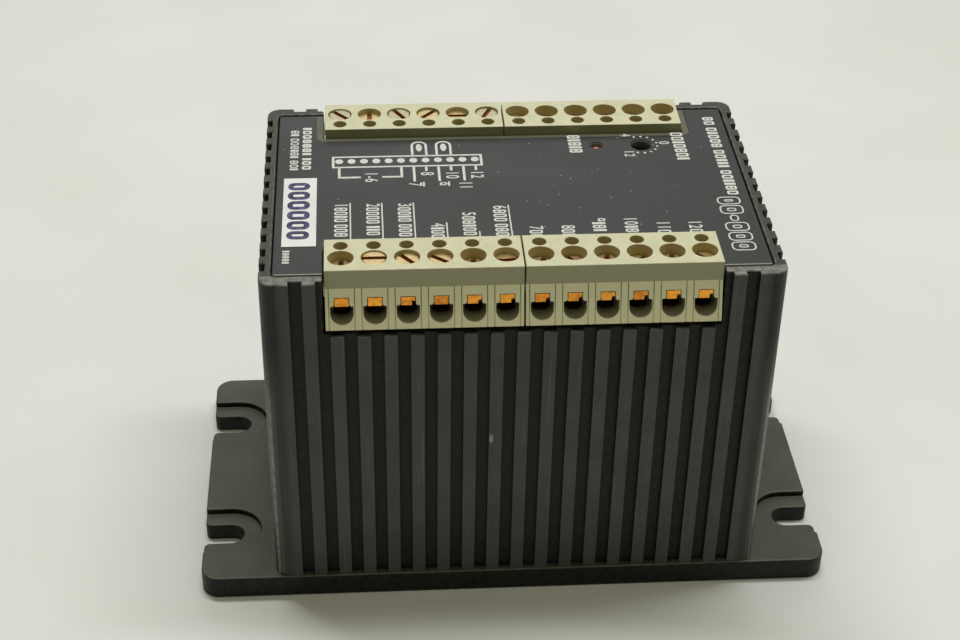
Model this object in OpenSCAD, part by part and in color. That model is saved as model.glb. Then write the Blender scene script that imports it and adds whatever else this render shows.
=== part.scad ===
// Two-phase stepper motor driver: a finned heat-sink case on a slotted base plate, with twelve
// screw terminals along the front, twelve along the rear and a printed cover between them.
// Millimetres, +Z up. The origin is the centre of the base plate's underside.
// X runs along the base plate's long side, and -Y is the front.

/* [Base plate] */
// Length over both ears
base_l = 105; // [104:0.5:112]
// Depth, front to back
base_d = 55.2; // [55:0.1:60]
// Thickness
base_t = 4.2; // [3.4:0.1:4.4]
// Radius of the upright corners
base_r = 3; // [1:0.5:6]
// Width of the open slots in the ears
slot_w = 4.5; // [4:0.1:6]
// Distance from the middle of the plate to the slots' round ends
slot_x = 48.1; // [47.5:0.1:49]
// Distance from the middle of the plate to the slots' centre lines
slot_y = 15.2; // [12:0.1:18]
// Diameter of the washer recess around each slot
recess_w = 10.6; // [8:0.1:12]
// Depth of the washer recess
recess_h = 1; // [0.5:0.1:1.5]
// Radius of the corners at the slots' mouths
mouth_r = 1; // [0.2:0.1:1.5]

/* [Finned case] */
// Width over the ribs
case_w = 80; // [79.5:0.5:81]
// Depth over the ribs
case_d = 54.6; // [54.4:0.1:55]
// Height of the rim above the base plate's underside
case_top = 62.3; // [62:0.1:62.5]
// Radius of the upright corners
case_r = 2.2; // [1:0.1:2.6]
// Wall left between the bottom of a groove and the inside
wall = 2.5; // [2.4:0.1:2.5]
// Distance from one groove to the next
rib_pitch = 4.06; // [3.8:0.01:4.15]
// Width of a groove
groove_w = 2; // [1:0.1:2.4]
// Depth of a groove
groove_h = 0.9; // [0.5:0.05:0.9]
// Grooves along the front, and along the rear
grooves_long = 18; // [10:1:18]
// Grooves along each end
grooves_short = 12; // [6:1:12]
// Height of the sill under the terminals
sill_z = 52.6; // [52:0.1:52.8]

/* [Cover and nameplate] */
// Width of the rim along the ends of the case
rim_side = 1.9; // [1.8:0.1:2]
// Width of the rim along the front and the rear
rim_end = 2.2; // [2.1:0.1:2.4]
// Thickness of the cover
cover_t = 1.5; // [1.2:0.1:1.5]
// Thickness of the printed film on the cover
film_t = 0.2; // [0.1:0.05:0.3]
// Thickness of the serial sticker
sticker_t = 0.1; // [0.05:0.01:0.15]
// Diameter of the dial hole
dial_hole = 3.4; // [3.2:0.1:4]
// Diameter of the lamp hole
lamp_hole = 2.1; // [2.1:0.1:3]

/* [Terminals] */
// Distance from one pole to the next
pole_pitch = 5; // [5:0.01:5.02]
// Poles in one housing
block_poles = 6; // [2:1:6]
// Gap between the two housings of a row
block_gap = 0.26; // [0.24:0.02:0.3]
// Height of the housings' tops
terminal_top = 63.65; // [63.5:0.05:64]
// Diameter of the screw holes
screw_hole = 4; // [3.8:0.1:4.1]
// Diameter of the test holes
test_hole = 2.2; // [1.6:0.1:2.3]
// Width of a wire entry
entry_w = 3.5; // [2.8:0.1:3.5]

/* [Terminal screws] */
// Diameter of a screw head
head_d = 3.7; // [3.4:0.1:3.7]
// Height of a screw head
head_h = 1.5; // [1.2:0.1:1.5]
// Diameter of the shank, M2.5
shank_d = 2.5; // [2.5:0.1:2.5]
// Length of the shank
shank_l = 4.2; // [4:0.1:4.2]
// How far each front screw head lies below the housing's top, left to right
front_sink = [1.5, 0.15, 0.5, 0.65, 1.7, 1.05, 1.7, 1.65, 1.5, 1.8, 1.65, 1.5];
// How far each rear screw head lies below the housing's top, left to right
rear_sink = [0.15, 0.7, 0.15, 0.3, 0.65, 0.25, 1.6, 1.9, 2, 1.95, 1.9, 2.1];
// Direction of each front screw's slot, in degrees from +X
front_turn = [88, 0, -52, -38, 86, 4, 62, -58, 78, 48, 80, -46];
// Direction of each rear screw's slot, in degrees from +X
rear_turn = [-48, 90, -60, 48, 0, 66, 20, -70, 85, 40, -30, 75];

/* [Circuit boards] */
// Thickness of both boards
board_t = 1.6; // [1.6:0.1:1.6]
// Height of the power board's underside
power_z = 10; // [9.5:0.5:10]
// Height of the terminal board's underside
top_board_z = 48.8; // [48.8:0.1:48.8]

/* [Hidden] */
$fn = 48;
// The overshoot of a cut past the face that it opens
cut = 0.5;
// Slip between parts that are assembled into each other
slip = 0.15;
// Radial clearance of a turning fit
run = 0.05;

COAL = [0.17, 0.17, 0.16];
FILM_GREY = [0.22, 0.22, 0.23];
PEBBLE = [0.80, 0.77, 0.64];
COPPER = [0.93, 0.55, 0.20];
NICKEL = [0.78, 0.72, 0.62];
TIN = [0.70, 0.70, 0.68];
BOARD_GREEN = [0.05, 0.35, 0.18];
BLACK = [0.06, 0.06, 0.07];
STEEL = [0.62, 0.63, 0.65];

// Case: the inside, the corner bosses and the recess for the cover
inner_w = case_w - 2 * (groove_h + wall);
inner_d = case_d - 2 * (groove_h + wall);
boss_r = 3;
boss_x = inner_w / 2 - boss_r - 0.1;
boss_y = inner_d / 2 - boss_r - 0.1;
cover_screw_x = boss_x + 0.8;
cover_screw_y = boss_y + 0.8;
cover_stud_r = 1;
cover_head_r = 1.9;
recess_in_w = case_w - 2 * rim_side;
recess_in_d = case_d - 2 * rim_end;
film_top = case_top - 0.1;
cover_top = film_top - film_t;
cover_z = cover_top - cover_t;

// Dial switch and alarm lamp, on the cover and on the terminal board
dial_x = 22.7;
dial_y = 12.6;
lamp_x = 15.2;
lamp_y = 12.8;
dial_body = 7.4;
dial_body_h = 5.2;
dial_shaft_r = 1.5;
dial_collar_r = 2.2;
dial_top = 59.8;

// Terminals: distances out from the middle of the case to each feature
row_in = 17.2;
row_top_out = 25.9;
row_toe_out = 27.7;
screw_out = 22.44;
test_out = 19.05;
shoulder_z = 60.4;
toe_z = 54;
block_l = pole_pitch * block_poles;
row_half = block_l + block_gap / 2;
board_top = top_board_z + board_t;
base_out = inner_d / 2 - 0.3;
step_out = base_out + 1.4;
step_z = sill_z + 0.3;
// The pocket that holds a wire clamp, and the wire entry's round floor
pocket_w = 4;
pocket_in = 18.4;
pocket_out = 24.5;
pocket_top = 58.4;
entry_z = 56.5;
entry_top = 57.6;
lip_notch_w = 2.3;
lip_notch_top = 58.95;
seam_w = 0.16;
seam_x = 1.95;
// A key on each housing's left end fits between two nubs on its neighbour's right end
key_size = [block_gap - 0.04, 2, 1.4];
key_z = 58.9;
nub_size = [0.1, 1.2, 0.4];
// The wire clamp: a loop of sheet metal with a solder pin
clamp_w = 3.8;
clamp_in = 18.6;
clamp_out = 24.3;
clamp_z = 54.2;
clamp_top = 58.3;
clamp_side = 0.6;
clamp_floor = 0.6;
clamp_roof = 0.9;
clamp_gap = clamp_top - clamp_z - clamp_floor - clamp_roof;
pin_out = 20.5;
pin_w = 1;
pin_t = 0.8;
pin_tail = 1.4;
// The wire guard: a leaf under the screw, turned up into a lip at the wire entry
guard_w = 2.1;
guard_t = 0.25;
guard_z = 57.25;
leaf_bend_out = 24.9;
lip_foot_z = 57.5;
lip_top = 58.85;
lip_out = 26.25;
relief_x = 0.55;
relief_top = 58.15;
driver_slot_w = 0.8;
driver_slot_h = 0.7;

// Boards, pillars and what the boards carry
board_w = inner_w - 0.6;
board_d = inner_d - 0.6;
board_notch = 2 * boss_r + 0.8;
pillar_x = 33;
pillar_y = 11;
pillar_r = 2.5;
stud_r = 1.5;
link_pins = 10;
link_pitch = 2.54;
link_y = -14;
link_pin = 0.64;
module_size = [31, 15, 4];
module_x = 17;
module_y = -1;
module_pins = 9;
module_pin_pitch = 3;
module_pin_y = -5.9;
module_hole_x = 13;
cap_r = 8;
cap_h = 30;
cap_x = [-19, 0, 19];
cap_y = 7;
cap_lead_gap = 3.75;
resistor_size = [14, 6.4, 9.5];
resistor_at = [[-22, -19.4], [-5, -19.4]];
chip_size = [35, 13.6, 3.8];
chip_at = [0, 2];
opto_size = [9.8, 6.4, 3.5];
opto_x = [-24, -12, 0, 12, 24];
opto_y = -9.6;
regulator_size = [10, 4.6, 15];
regulator_at = [14, -19.4];

ROWS = ["front", "rear"];
SIDES = ["left", "right"];
function screw_name(row, k) = str(row, "_terminal_screw_", k + 1);
function part_name(row, b, what) = str(row, "_", SIDES[b], "_", what);

function block_x(b) = (b == 0 ? -1 : 1) * (block_l + block_gap) / 2;
function pole_x(b, i) = block_x(b) + (i - (block_poles - 1) / 2) * pole_pitch;
function sink(row, k) = row == "front" ? front_sink[k] : rear_sink[k];
function turn(row, k) = row == "front" ? front_turn[k] : rear_turn[k];
function head_top(row, k) = terminal_top - sink(row, k);
function link_x(i) = (i - (link_pins - 1) / 2) * link_pitch;
function module_pin_x(i) = (i - (module_pins - 1) / 2) * module_pin_pitch;

// ---- Shared shapes

module rounded_plate(w, d, r) {
    square([w - 2 * r, d], center = true);
    square([w, d - 2 * r], center = true);
    for (x = [-1, 1], y = [-1, 1])
        translate([x * (w / 2 - r), y * (d / 2 - r)]) circle(r);
}

// Children at the four points [+-x, +-y]
module at_corners(x, y) {
    for (i = [-1, 1], j = [-1, 1]) translate([i * x, j * y, 0]) children();
}

module post(r, z0, z1) {
    translate([0, 0, z0]) cylinder(r = r, h = z1 - z0);
}

// A block on a centre line, from z0 upwards
module block(size, z0) {
    translate([-size[0] / 2, -size[1] / 2, z0]) cube(size);
}

// A profile of [outward, up] points, drawn out along X and centred on it
module along_row(length) {
    translate([-length / 2, 0, 0]) rotate([90, 0, 90]) linear_extrude(length) children();
}

// Puts a shape that is drawn with +Y outwards into the front or the rear row
module in_row(row) {
    mirror([0, row == "front" ? 1 : 0, 0]) children();
}

module at_poles(b) {
    for (i = [0 : block_poles - 1]) translate([pole_x(b, i), 0, 0]) children();
}

module countersunk_screw(r, head_r, length) {
    cylinder(r = r, h = length);
    cylinder(r1 = head_r, r2 = r, h = head_r - r);
}

// A screw head from z0 upwards with a cross recess in its top
module pan_head(r, h, z0) {
    difference() {
        post(r, z0, z0 + h);
        block([r * 1.2, r * 0.3, h], z0 + h * 0.5);
        block([r * 0.3, r * 1.2, h], z0 + h * 0.5);
    }
}

// ---- Base plate

// An open slot or its recess: a round end at slot_x, straight sides out past the ear
module open_slot(width) {
    circle(d = width);
    translate([0, -width / 2]) square([base_l, width]);
}

// The waste outside a rounded corner whose arc centre is at the origin
module corner_waste(r) {
    difference() {
        square(r + cut);
        circle(r);
    }
}

module base_outline() {
    difference() {
        rounded_plate(base_l, base_d, base_r);
        for (i = [0, 1], y = [-slot_y, slot_y]) mirror([i, 0]) {
            translate([slot_x, y]) open_slot(slot_w);
            translate([base_l / 2 - mouth_r, y + slot_w / 2 + mouth_r])
                mirror([0, 1]) corner_waste(mouth_r);
            translate([base_l / 2 - mouth_r, y - slot_w / 2 - mouth_r]) corner_waste(mouth_r);
        }
    }
}

module base_plate() {
    color(COAL) difference() {
        linear_extrude(base_t) base_outline();
        translate([0, 0, base_t - recess_h]) linear_extrude(recess_h + cut)
            for (i = [0, 1], y = [-slot_y, slot_y])
                mirror([i, 0]) translate([slot_x, y]) open_slot(recess_w);
        at_corners(boss_x, boss_y) {
            post(1.6, -cut, base_t + cut);
            translate([0, 0, -0.01]) cylinder(r1 = 3.1, r2 = 1.6, h = 1.5);
        }
        at_corners(pillar_x, pillar_y) post(stud_r, 1.2, base_t + cut);
        for (x = [-module_x, module_x], side = [-1, 1])
            translate([x + side * module_hole_x, module_y, 0]) post(stud_r, 1.2, base_t + cut);
    }
}

// ---- Finned case

module groove_row(count, length, edge) {
    for (i = [0 : count - 1], side = [-1, 1])
        translate([(i - (count - 1) / 2) * rib_pitch - groove_w / 2, side * edge - groove_h])
            square([groove_w, 2 * groove_h]);
}

module rib_outline() {
    difference() {
        rounded_plate(case_w, case_d, case_r);
        groove_row(grooves_long, case_w, case_d / 2);
        rotate(90) groove_row(grooves_short, case_d, case_w / 2);
    }
}

// A round boss in each inside corner, with two webs that join it to the walls
module corner_bosses() {
    web_x = inner_w / 2 + cut - boss_x;
    web_y = inner_d / 2 + cut - boss_y;
    at_corners(boss_x, boss_y) circle(boss_r);
    for (i = [0, 1], j = [0, 1]) mirror([i, 0]) mirror([0, j]) {
        translate([boss_x - boss_r, boss_y]) square([web_x + boss_r, web_y]);
        translate([boss_x, boss_y - boss_r]) square([web_x, web_y + boss_r]);
    }
}

module finned_case() {
    color(COAL) difference() {
        translate([0, 0, base_t]) linear_extrude(case_top - base_t) {
            difference() {
                rib_outline();
                rounded_plate(inner_w, inner_d, 1);
            }
            corner_bosses();
        }
        translate([0, 0, cover_z]) linear_extrude(case_top) rounded_plate(recess_in_w, recess_in_d, 1);
        block([2 * row_half + 0.6, case_d + 2, case_top], sill_z);
        at_corners(boss_x, boss_y) post(stud_r, -cut, 14);
        at_corners(cover_screw_x, cover_screw_y) post(cover_stud_r, cover_z - 8, case_top);
    }
}

// ---- Cover, film and sticker

// The cut-outs for both terminal rows, with a margin at the sides and one behind each row
module row_cutouts(front_margin, rear_margin, r) {
    for (m = [[-1, front_margin], [1, rear_margin]])
        translate([0, m[0] * (row_in - m[1] + case_d / 2)])
            rounded_plate(2 * (row_half + m[1]), case_d, r);
}

module top_cover() {
    color(COAL) difference() {
        translate([0, 0, cover_z]) linear_extrude(cover_t) difference() {
            rounded_plate(recess_in_w - 2 * slip, recess_in_d - 2 * slip, 0.9);
            row_cutouts(0.25, 0.25, 0.2);
            translate([dial_x, dial_y]) circle(d = dial_hole);
            translate([lamp_x, lamp_y]) circle(d = lamp_hole);
        }
        at_corners(cover_screw_x, cover_screw_y) {
            post(cover_stud_r + 0.2, cover_z - cut, case_top);
            translate([0, 0, cover_top - 0.8])
                cylinder(r1 = cover_head_r - 0.7, r2 = cover_head_r + 0.11, h = 0.81);
        }
    }
}

module nameplate_film() {
    color(FILM_GREY) translate([0, 0, cover_top]) linear_extrude(film_t) difference() {
        rounded_plate(recess_in_w - 0.5, recess_in_d - 1, 0.4);
        row_cutouts(0.3, 1.5, 1.8);
        translate([dial_x, dial_y]) circle(d = dial_hole + 0.2);
        translate([lamp_x, lamp_y]) circle(d = lamp_hole + 0.2);
    }
}

module serial_sticker() {
    color("white") translate([-34.05, -6.65, film_top]) linear_extrude(sticker_t)
        square([5.3, 20.5], center = true);
}

// ---- Terminals

module terminal_housing(row, b) {
    profile = [
        [row_in, board_top], [base_out, board_top], [base_out, step_z], [step_out, step_z],
        [step_out, toe_z], [row_toe_out, toe_z], [row_top_out, shoulder_z],
        [row_top_out, terminal_top], [row_in, terminal_top]
    ];
    color(PEBBLE) in_row(row) difference() {
        translate([block_x(b), 0, 0]) {
            along_row(block_l) polygon(profile);
            housing_keys();
        }
        at_poles(b) pole_cavity();
    }
}

module housing_keys() {
    translate([-block_l / 2 - key_size[0], row_top_out - 0.1 - key_size[1], key_z])
        cube(key_size + [1, 0, 0]);
    for (z = [key_z - 0.05 - nub_size[2], key_z + key_size[2] + 0.05])
        translate([block_l / 2 - 1, row_top_out - 0.1 - nub_size[1], z]) cube(nub_size + [1, 0, 0]);
}

// Everything cut out of a housing for one pole
module pole_cavity() {
    translate([0, screw_out, 0]) post(screw_hole / 2, pocket_top - cut, terminal_top + cut);
    translate([0, test_out, 0]) post(test_hole / 2, pocket_top - cut, terminal_top + cut);
    translate([-pocket_w / 2, pocket_in, board_top - cut])
        cube([pocket_w, pocket_out - pocket_in, pocket_top - board_top + cut]);
    translate([0, pocket_out - cut, entry_z]) rotate([-90, 0, 0]) cylinder(d = entry_w, h = 6);
    translate([-entry_w / 2, pocket_out - cut, entry_z]) cube([entry_w, 6, entry_top - entry_z]);
    translate([-lip_notch_w / 2, pocket_out - cut, entry_z])
        cube([lip_notch_w, 6, lip_notch_top - entry_z]);
    for (x = [-seam_x, seam_x]) translate([x, 0, 0]) along_row(seam_w) face_seam();
}

// A thin seam down the sloping face, beside a wire entry
module face_seam() {
    polygon([
        [row_top_out - 0.1, shoulder_z], [row_toe_out + cut, shoulder_z],
        [row_toe_out + cut, toe_z - cut], [row_toe_out - 0.1, toe_z]
    ]);
}

module wire_clamps(row, b) {
    length = clamp_out - clamp_in;
    color(TIN) in_row(row) at_poles(b) difference() {
        union() {
            translate([-clamp_w / 2, clamp_in, clamp_z]) cube([clamp_w, length, clamp_top - clamp_z]);
            translate([-pin_w / 2, pin_out - pin_t / 2, top_board_z - pin_tail])
                cube([pin_w, pin_t, clamp_z + clamp_floor - top_board_z + pin_tail]);
        }
        translate([-clamp_w / 2 + clamp_side, clamp_in - cut, clamp_z + clamp_floor])
            cube([clamp_w - 2 * clamp_side, length + 2 * cut, clamp_gap]);
        translate([0, screw_out, 0]) post(shank_d / 2 + run, clamp_top - 2 * clamp_roof, clamp_top + cut);
    }
}

// The leaf dips to just under the tip of its screw, then rises to the foot of the lip
module guard_profile(tip_z) {
    dip = min(guard_z, tip_z - run);
    path = [
        [clamp_in + 0.3, guard_z], [screw_out - 2.6, guard_z],
        [screw_out - 1.4, dip], [screw_out + 1.4, dip], [leaf_bend_out, guard_z]
    ];
    lip = [
        [lip_out - 0.25, lip_foot_z], [lip_out - 0.3, lip_top],
        [lip_out, lip_top], [lip_out + 0.05, lip_foot_z - 0.1]
    ];
    under = [for (i = [len(path) - 1 : -1 : 0]) path[i] - [0, guard_t]];
    polygon(concat(path, lip, under));
}

// Poles whose lip has its lower right corner cut away
function has_relief(k) = k == 2 || k > 3;

module wire_guards(row, b) {
    color(COPPER) in_row(row) for (i = [0 : block_poles - 1]) {
        k = b * block_poles + i;
        tip_z = head_top(row, k) - head_h - shank_l;
        translate([pole_x(b, i), 0, 0]) difference() {
            along_row(guard_w) guard_profile(tip_z);
            if (has_relief(k)) lip_relief();
        }
    }
}

module lip_relief() {
    translate([relief_x, leaf_bend_out - 0.3, guard_z - 1]) cube([guard_w, 4, relief_top - guard_z + 1]);
}

module terminal_screw(row, k) {
    b = floor(k / block_poles);
    top = head_top(row, k);
    color(NICKEL) in_row(row)
        translate([pole_x(b, k - b * block_poles), screw_out, 0]) {
            post(shank_d / 2, top - head_h - shank_l, top - head_h + 0.1);
            difference() {
                post(head_d / 2, top - head_h, top);
                rotate(row == "front" ? -turn(row, k) : turn(row, k))
                    block([head_d + cut, driver_slot_w, driver_slot_h + cut], top - driver_slot_h);
            }
        }
}

// ---- Dial switch and lamp

module dial_switch_housing() {
    color(BLACK) translate([dial_x, dial_y, 0]) difference() {
        union() {
            block([dial_body, dial_body, dial_body_h], board_top);
            post(2.6, board_top, board_top + dial_body_h + 0.8);
        }
        post(dial_collar_r + 0.3, board_top + 0.8, board_top + 3.4);
        post(dial_shaft_r + run, board_top + 3, board_top + dial_body_h + 2);
    }
}

module dial_switch_rotor() {
    color(BLACK) translate([dial_x, dial_y, 0]) difference() {
        union() {
            post(dial_shaft_r, board_top + 1.1, dial_top);
            post(dial_collar_r, board_top + 1.1, board_top + 3.1);
        }
        translate([0.25, 0, 0]) block([2 * dial_shaft_r, 0.5, 2], dial_top - 0.7);
        block([0.5, 1.5, 2], dial_top - 0.7);
    }
}

module alarm_lamp() {
    lens_r = 0.9;
    lens_top = film_top - 0.5;
    color("lightcoral") translate([lamp_x, lamp_y, 0]) {
        post(lens_r, 57.5, lens_top - lens_r);
        translate([0, 0, lens_top - lens_r]) sphere(lens_r);
        post(1.3, 57, 57.5);
        for (x = [-0.5, 0.5]) translate([x, 0, 0]) post(0.2, top_board_z - 1, 57.1);
    }
}

module lamp_spacer() {
    color(BLACK) translate([lamp_x, lamp_y, 0]) difference() {
        post(1.4, board_top, 57);
        for (x = [-0.5, 0.5]) translate([x, 0, 0]) post(0.25, board_top - cut, 57 + cut);
    }
}

// ---- Circuit boards

module board_outline() {
    difference() {
        square([board_w, board_d], center = true);
        at_corners(board_w / 2, board_d / 2) square(2 * board_notch, center = true);
        at_corners(pillar_x, pillar_y) circle(stud_r + slip);
        for (i = [0 : link_pins - 1]) translate([link_x(i), link_y]) circle(0.55);
    }
}

module terminal_board() {
    color(BOARD_GREEN) translate([0, 0, top_board_z]) linear_extrude(board_t) difference() {
        board_outline();
        for (side = [-1, 1], b = [0, 1]) at_poles(b) translate([0, side * pin_out]) circle(0.8);
        for (x = [-0.5, 0.5]) translate([lamp_x + x, lamp_y]) circle(0.3);
    }
}

module power_board() {
    color(BOARD_GREEN) translate([0, 0, power_z]) linear_extrude(board_t) difference() {
        board_outline();
        for (x = [-module_x, module_x], i = [0 : module_pins - 1])
            translate([x + module_pin_x(i), module_y + module_pin_y]) circle(0.5);
        for (x = cap_x, side = [-1, 1]) translate([x + side * cap_lead_gap, cap_y]) circle(0.6);
    }
}

module board_link_header() {
    color(BLACK) difference() {
        translate([0, link_y, 0]) block([link_pins * link_pitch, 2.5, 2.5], power_z + board_t);
        at_link_pins() block([link_pin, link_pin, 10], power_z);
    }
    color(NICKEL) at_link_pins() block([link_pin, link_pin, board_top - power_z + 3], power_z - 1.5);
}

module at_link_pins() {
    for (i = [0 : link_pins - 1]) translate([link_x(i), link_y, 0]) children();
}

module driver_modules() {
    for (x = [-module_x, module_x]) translate([x, module_y, 0]) {
        color(BLACK) difference() {
            block(module_size, base_t);
            for (side = [-1, 1]) translate([side * module_hole_x, 0, 0]) {
                post(1.7, base_t - cut, base_t + module_size[2] + cut);
            }
        }
        color(TIN) for (i = [0 : module_pins - 1])
            translate([module_pin_x(i), module_pin_y, 0]) block([0.6, 0.4, 7.5], base_t + 2);
    }
}

module module_screws() {
    top = base_t + module_size[2];
    color(STEEL) for (x = [-module_x, module_x], side = [-1, 1])
        translate([x + side * module_hole_x, module_y, 0]) {
            post(stud_r - run, 1.3, top + 0.1);
            pan_head(2.3, 1.2, top);
        }
}

module smoothing_capacitors() {
    z0 = power_z + board_t;
    color(BLACK) for (x = cap_x) translate([x, cap_y, 0]) {
        post(cap_r - 0.4, z0, z0 + 2);
        post(cap_r, z0 + 2, z0 + cap_h);
        for (side = [-1, 1]) translate([side * cap_lead_gap, 0, 0]) post(0.4, power_z - 1, z0 + 1);
    }
}

module sense_resistors() {
    color("white") for (at = resistor_at)
        translate([at[0], at[1], 0]) block(resistor_size, power_z + board_t);
}

// The chips hang under the terminal board
module controller_chip() {
    color(BLACK) translate([chip_at[0], chip_at[1], 0]) block(chip_size, top_board_z - chip_size[2]);
}

module opto_couplers() {
    color(BLACK) for (x = opto_x)
        translate([x, opto_y, 0]) block(opto_size, top_board_z - opto_size[2]);
}

module supply_regulator() {
    color(BLACK) translate([regulator_at[0], regulator_at[1], 0])
        block(regulator_size, power_z + board_t);
}

// ---- Fasteners

module board_standoffs() {
    color(STEEL) at_corners(pillar_x, pillar_y) difference() {
        union() {
            post(pillar_r, base_t, power_z);
            post(stud_r - run, 1.3, base_t + 0.1);
        }
        post(stud_r, base_t + 1.4, power_z + cut);
    }
}

module board_pillars() {
    color(STEEL) at_corners(pillar_x, pillar_y) difference() {
        union() {
            post(pillar_r, power_z + board_t, top_board_z);
            post(stud_r - run, power_z - 3.8, power_z + board_t + 0.1);
        }
        post(stud_r, top_board_z - 6, top_board_z + cut);
    }
}

module board_screws() {
    color(STEEL) at_corners(pillar_x, pillar_y) {
        post(stud_r - run, top_board_z - 5, board_top + 0.1);
        pan_head(2.4, 1.8, board_top);
    }
}

module case_screws() {
    color(STEEL) at_corners(boss_x, boss_y) translate([0, 0, 0.1])
        difference() {
            countersunk_screw(stud_r - run, 2.8, 12);
            block([3.2, 0.7, 0.8], -0.1);
            block([0.7, 3.2, 0.8], -0.1);
        }
}

module cover_screws() {
    color(STEEL) at_corners(cover_screw_x, cover_screw_y)
        translate([0, 0, cover_top - 0.05]) mirror([0, 0, 1]) difference() {
            countersunk_screw(cover_stud_r - run, cover_head_r, 7);
            block([2.2, 0.5, 0.6], -0.1);
            block([0.5, 2.2, 0.6], -0.1);
        }
}

// ---- Drawing

base_plate();
finned_case();
top_cover();
nameplate_film();
serial_sticker();
for (row = ROWS, b = [0, 1]) {
    terminal_housing(row, b);
    wire_clamps(row, b);
    wire_guards(row, b);
}
for (row = ROWS, k = [0 : 2 * block_poles - 1])
    terminal_screw(row, k);
dial_switch_housing();
dial_switch_rotor();
alarm_lamp();
lamp_spacer();
terminal_board();
power_board();
board_link_header();
driver_modules();
module_screws();
smoothing_capacitors();
sense_resistors();
controller_chip();
opto_couplers();
supply_regulator();
board_standoffs();
board_pillars();
board_screws();
case_screws();
cover_screws();
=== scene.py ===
"""Looks of a two-phase stepper motor driver: rounded edges, detailed screws, print and materials.

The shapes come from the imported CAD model. Lengths are in millimetres and become metres by MM.
Colours are linear.
"""

import math
import random

import bmesh
import bpy
from mathutils import Matrix, Vector


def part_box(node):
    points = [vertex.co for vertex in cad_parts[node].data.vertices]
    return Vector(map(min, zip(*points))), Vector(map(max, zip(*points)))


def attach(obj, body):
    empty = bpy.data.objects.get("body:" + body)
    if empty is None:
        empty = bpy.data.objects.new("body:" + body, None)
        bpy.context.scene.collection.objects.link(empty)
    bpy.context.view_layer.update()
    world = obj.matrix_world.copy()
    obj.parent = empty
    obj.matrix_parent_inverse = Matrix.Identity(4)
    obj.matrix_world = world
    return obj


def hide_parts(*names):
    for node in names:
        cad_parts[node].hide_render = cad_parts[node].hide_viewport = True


MM = 0.001
ROWS = ("front", "rear")
SIDES = ("left", "right")
POLES = 12

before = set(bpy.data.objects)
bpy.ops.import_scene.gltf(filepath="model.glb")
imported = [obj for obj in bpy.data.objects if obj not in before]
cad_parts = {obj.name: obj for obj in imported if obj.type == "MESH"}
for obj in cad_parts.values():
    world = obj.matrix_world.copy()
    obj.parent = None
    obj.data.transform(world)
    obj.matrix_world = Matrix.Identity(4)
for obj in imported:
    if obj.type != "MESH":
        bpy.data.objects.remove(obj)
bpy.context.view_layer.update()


# ---- Materials


# The case: the radius of its upright corners, the width of its rim, the heights between which the
# painted highlight low on the corners gives way to painted shade high up, and a chip on one rib
CORNER_R = 2.4
RIM_W = 2.3
CORNER_LIT_UP_TO = 38.0
CORNER_SHADED_FROM = 50.0
CHIP_X = -4.7
CHIP_Z = 32.1

# A terminal housing: the height and place of the upright band of its outer face, how far its slope
# comes out for each millimetre down, where its wire entries begin and where its inner face ends
BAND_H = 3.25
BAND_OUT = 25.9
SLOPE_RUN = 0.281
ENTRY_FROM = 24.5
INNER_FACE_TO = 17.4


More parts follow.
